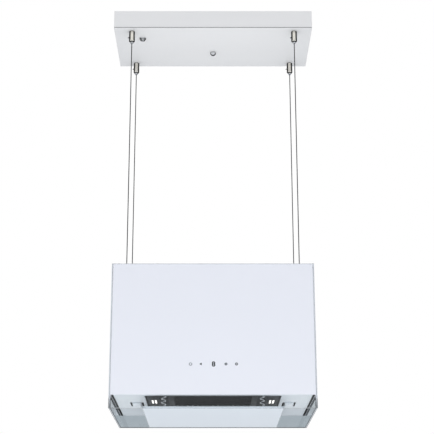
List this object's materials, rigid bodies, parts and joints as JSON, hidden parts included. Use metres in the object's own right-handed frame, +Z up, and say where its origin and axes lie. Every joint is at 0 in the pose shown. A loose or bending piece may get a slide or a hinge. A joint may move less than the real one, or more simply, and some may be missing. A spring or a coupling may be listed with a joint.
{
  "type": "island range hood",
  "caption": "Recirculating island hood clad in white glass, hung from a ceiling canopy on steel ropes, with a side-intake panel below",
  "frame": {"origin": "centre of the ceiling bracket's top face, on the ceiling", "axes": "+Z up, +X to the right of someone facing the controls, +Y away from them"},
  "size_m": [0.64, 0.42, 1.297],
  "materials": {
    "zinc_steel": "zinc-coated sheet steel",
    "white_paint": "white powder coat, satin",
    "chrome_trim": "polished",
    "white_nylon": "moulded nylon",
    "nickel": "nickel-plated, turned",
    "steel": "bright zinc-plated",
    "steel_rope": "stranded steel rope",
    "white_glass": "toughened glass, white enamel on the inner face, clear along the bottom edge",
    "circuit_board": "printed board",
    "silver_paint": "silver lacquer, satin",
    "black_seal": "soft black seal",
    "black_paint": "black powder coat, matt",
    "black_plastic": "moulded, matt",
    "lamp_diffuser": "opal diffuser",
    "filter_aluminium": "satin",
    "filter_mesh": "layered expanded mesh, dark",
    "grey_plastic": "moulded, glass-filled",
    "motor_metal": "grey paint",
    "charcoal": "black plastic grille over granules"
  },
  "bodies": {
    "ceiling_unit": {"ceiling_bracket": "zinc_steel", "ceiling_canopy": "white_paint", "canopy_cap_nut": "chrome_trim", "supply_gland": "chrome_trim", "terminal_block": "white_nylon", "cable_grip_front_left": "nickel", "cable_grip_front_right": "nickel", "cable_grip_rear_left": "nickel", "cable_grip_rear_right": "nickel", "rope_tail_front_left": "steel_rope", "rope_tail_front_right": "steel_rope", "rope_tail_rear_left": "steel_rope", "rope_tail_rear_right": "steel_rope"},
    "hood": {"casing": "zinc_steel", "blower_housing": "zinc_steel", "top_panel": "white_paint", "lead_inlet": "chrome_trim", "rope_anchor_front_left": "steel", "rope_anchor_front_right": "steel", "rope_anchor_rear_left": "steel", "rope_anchor_rear_right": "steel", "left_tray_clip": "steel", "right_tray_clip": "steel", "left_hinge_bracket": "steel", "right_hinge_bracket": "steel", "left_panel_catch": "steel", "right_panel_catch": "steel", "suspension_rope_front_left": "steel_rope", "suspension_rope_front_right": "steel_rope", "suspension_rope_rear_left": "steel_rope", "suspension_rope_rear_right": "steel_rope", "front_glass": "white_glass", "rear_glass": "white_glass", "left_glass": "white_glass", "right_glass": "white_glass", "touch_board": "circuit_board", "underside_tray": "silver_paint", "left_seal": "black_seal", "right_seal": "black_seal", "filter_carrier": "black_paint", "left_lamp": "black_plastic", "right_lamp": "black_plastic", "control_box": "black_plastic", "left_lamp_lens": "lamp_diffuser", "right_lamp_lens": "lamp_diffuser", "blower_motor": "motor_metal"},
    "grip_plunger_front_left": {"grip_plunger_front_left": "steel"},
    "grip_plunger_front_right": {"grip_plunger_front_right": "steel"},
    "grip_plunger_rear_left": {"grip_plunger_rear_left": "steel"},
    "grip_plunger_rear_right": {"grip_plunger_rear_right": "steel"},
    "impeller": {"impeller": "grey_plastic"},
    "left_charcoal_filter": {"left_charcoal_filter": "charcoal"},
    "right_charcoal_filter": {"right_charcoal_filter": "charcoal"},
    "grease_filter": {"filter_frame": "filter_aluminium", "filter_mesh": "filter_mesh"},
    "filter_latch": {"filter_latch": "steel"},
    "suction_panel": {"suction_panel": "white_glass", "panel_carrier": "zinc_steel", "left_hinge_pin": "steel", "right_hinge_pin": "steel"}
  },
  "joints": [
    {"name": "height_adjust", "type": "slide", "parent": "ceiling_unit", "child": "hood", "axis": [0, 0, 1], "range_m": [0, 0.3], "deforming": ["suspension_rope_front_left", "suspension_rope_front_right", "suspension_rope_rear_left", "suspension_rope_rear_right"]},
    {"name": "grip_release_front_left", "type": "slide", "parent": "ceiling_unit", "child": "grip_plunger_front_left", "axis": [0, 0, 1], "range_m": [0, 0.0025], "stiffness_N_per_m": 2000, "springref_m": -0.001},
    {"name": "grip_release_front_right", "type": "slide", "parent": "ceiling_unit", "child": "grip_plunger_front_right", "axis": [0, 0, 1], "range_m": [0, 0.0025], "stiffness_N_per_m": 2000, "springref_m": -0.001},
    {"name": "grip_release_rear_left", "type": "slide", "parent": "ceiling_unit", "child": "grip_plunger_rear_left", "axis": [0, 0, 1], "range_m": [0, 0.0025], "stiffness_N_per_m": 2000, "springref_m": -0.001},
    {"name": "grip_release_rear_right", "type": "slide", "parent": "ceiling_unit", "child": "grip_plunger_rear_right", "axis": [0, 0, 1], "range_m": [0, 0.0025], "stiffness_N_per_m": 2000, "springref_m": -0.001},
    {"name": "impeller_spin", "type": "hinge", "parent": "hood", "child": "impeller", "pos_m": [0, 0.03405, -1.0659], "axis": [1, 0, 0], "continuous": true},
    {"name": "left_charcoal_twist", "type": "hinge", "parent": "hood", "child": "left_charcoal_filter", "pos_m": [-0.1, 0.03405, -1.0659], "axis": [1, 0, 0], "range_deg": [0, 25]},
    {"name": "right_charcoal_twist", "type": "hinge", "parent": "hood", "child": "right_charcoal_filter", "pos_m": [0.1, 0.03405, -1.0659], "axis": [1, 0, 0], "range_deg": [0, 25]},
    {"name": "grease_filter_drop", "type": "hinge", "parent": "hood", "child": "grease_filter", "pos_m": [0, 0.15, -1.248], "axis": [1, 0, 0], "range_deg": [0, 5]},
    {"name": "filter_latch_slide", "type": "slide", "parent": "grease_filter", "child": "filter_latch", "axis": [0, 1, 0], "range_m": [0, 0.006], "stiffness_N_per_m": 400, "springref_m": -0.002},
    {"name": "suction_panel_swing", "type": "hinge", "parent": "hood", "child": "suction_panel", "pos_m": [0, 0.18, -1.281], "axis": [1, 0, 0], "range_deg": [0, 80]}
  ]
}
